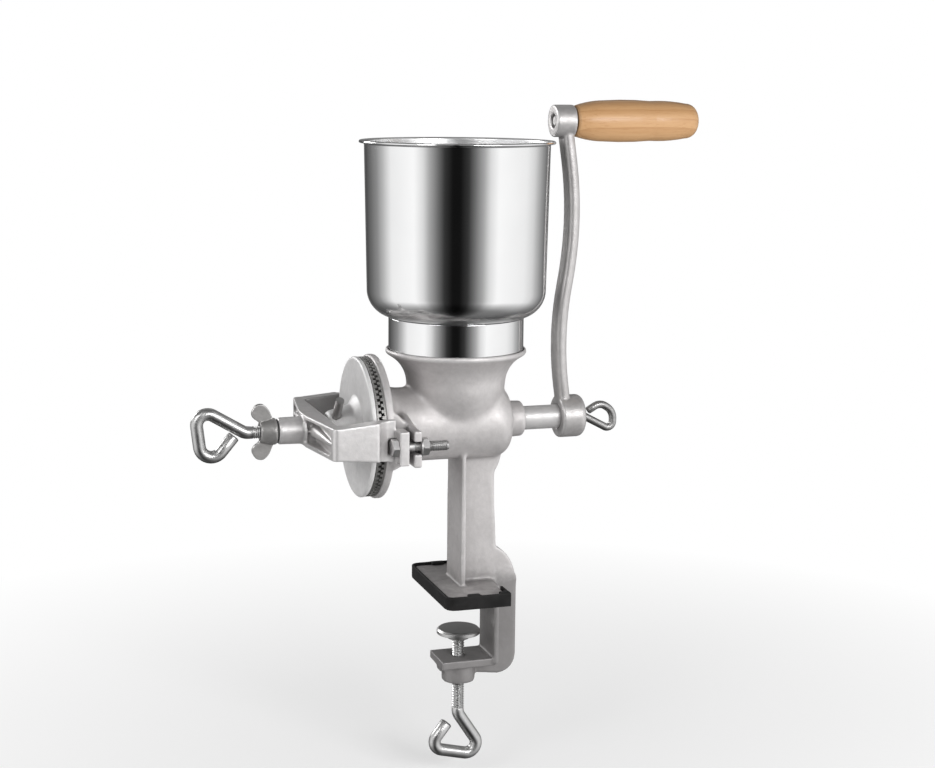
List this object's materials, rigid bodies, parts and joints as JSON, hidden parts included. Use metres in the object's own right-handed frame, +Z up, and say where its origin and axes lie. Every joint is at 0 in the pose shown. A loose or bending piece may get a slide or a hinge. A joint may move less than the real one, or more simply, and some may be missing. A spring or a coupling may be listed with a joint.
{
  "type": "hand grain mill",
  "caption": "Table-clamped hand grain mill: steel hopper over a tinned body, feed auger, toothed discs set by an eye screw in a yoke, S-curved crank with wooden grip.",
  "frame": {"origin": "on the underside of the foot boot, straight below the hopper's axis", "axes": "+X along the shaft to the crank, +Y across the shaft, +Z up the hopper"},
  "size_m": [0.3961, 0.1472, 0.5173],
  "materials": {
    "tinned_casting": "satin tin-plated casting",
    "polished_steel": "mirror-polished stainless sheet",
    "burr_iron": "hard cast grinding plate",
    "plated_rod": "bright zinc-plated rod",
    "zinc_fastener": "zinc-plated fastener",
    "shaft_steel": "turned steel",
    "black_fibre": "black fibre washer",
    "black_rubber": "moulded black rubber",
    "varnished_wood": "turned beech under clear varnish"
  },
  "bodies": {
    "frame": {"mill_body": "tinned_casting", "fixed_burr": "burr_iron", "fixed_burr_screws": "zinc_fastener", "yoke": "tinned_casting", "yoke_bolts": "zinc_fastener", "yoke_washers": "zinc_fastener", "yoke_nuts": "zinc_fastener", "foot_boot": "black_rubber"},
    "hopper": {"hopper_bowl": "polished_steel", "hopper_collar": "polished_steel"},
    "thrust": {"thrust_ball": "shaft_steel"},
    "adjuster": {"adjusting_screw": "plated_rod"},
    "lock_seat": {"lock_washer": "black_fibre"},
    "lock_nut": {"wing_nut": "tinned_casting"},
    "drive": {"feed_auger": "tinned_casting", "rotating_disc": "tinned_casting", "rotating_burr": "burr_iron", "rotating_burr_screws": "zinc_fastener", "disc_pin": "shaft_steel", "crank_arm": "tinned_casting", "thumb_screw": "plated_rod", "grip_spindle": "shaft_steel", "grip_washer": "shaft_steel"},
    "grip": {"wooden_grip": "varnished_wood"},
    "clamp_foot": {"clamp_pad": "shaft_steel", "clamp_pad_ring": "shaft_steel"},
    "clamp_spindle": {"clamp_screw": "plated_rod"}
  },
  "joints": [
    {"name": "crank_turn", "type": "hinge", "parent": "thrust", "child": "drive", "pos_m": [0, 0, 0.1345], "axis": [1, 0, 0], "continuous": true},
    {"name": "grip_spin", "type": "hinge", "parent": "drive", "child": "grip", "pos_m": [0.14, 0, 0.3625], "axis": [1, 0, 0], "continuous": true},
    {"name": "grind_gap", "type": "slide", "parent": "frame", "child": "thrust", "axis": [1, 0, 0], "range_m": [-0.0026, 0.0004]},
    {"name": "adjust_turn", "type": "hinge", "parent": "thrust", "child": "adjuster", "pos_m": [-0.12, 0, 0.1345], "axis": [1, 0, 0], "range_deg": [-624.5, 96.5]},
    {"name": "lock_travel", "type": "slide", "parent": "frame", "child": "lock_seat", "axis": [1, 0, 0], "range_m": [-0.0015, 0]},
    {"name": "lock_turn", "type": "hinge", "parent": "lock_seat", "child": "lock_nut", "pos_m": [-0.145, 0, 0.1345], "axis": [1, 0, 0], "range_deg": [-360.5, 0.5]},
    {"name": "clamp_travel", "type": "slide", "parent": "frame", "child": "clamp_foot", "axis": [0, 0, 1], "range_m": [-0.0135, 0.025]},
    {"name": "clamp_turn", "type": "hinge", "parent": "clamp_foot", "child": "clamp_spindle", "pos_m": [0.004, 0, -0.06], "axis": [0, 0, 1], "range_deg": [-2431, 4501]},
    {"name": "hopper_lift", "type": "slide", "parent": "frame", "child": "hopper", "axis": [0, 0, 1], "range_m": [0, 0.08]}
  ],
  "couplings": [
    {"joint": "adjust_turn", "follows": "grind_gap", "rad_per_m": 4188.8},
    {"joint": "lock_turn", "follows": "lock_travel", "rad_per_m": 4188.8},
    {"joint": "clamp_turn", "follows": "clamp_travel", "rad_per_m": 3141.6}
  ]
}
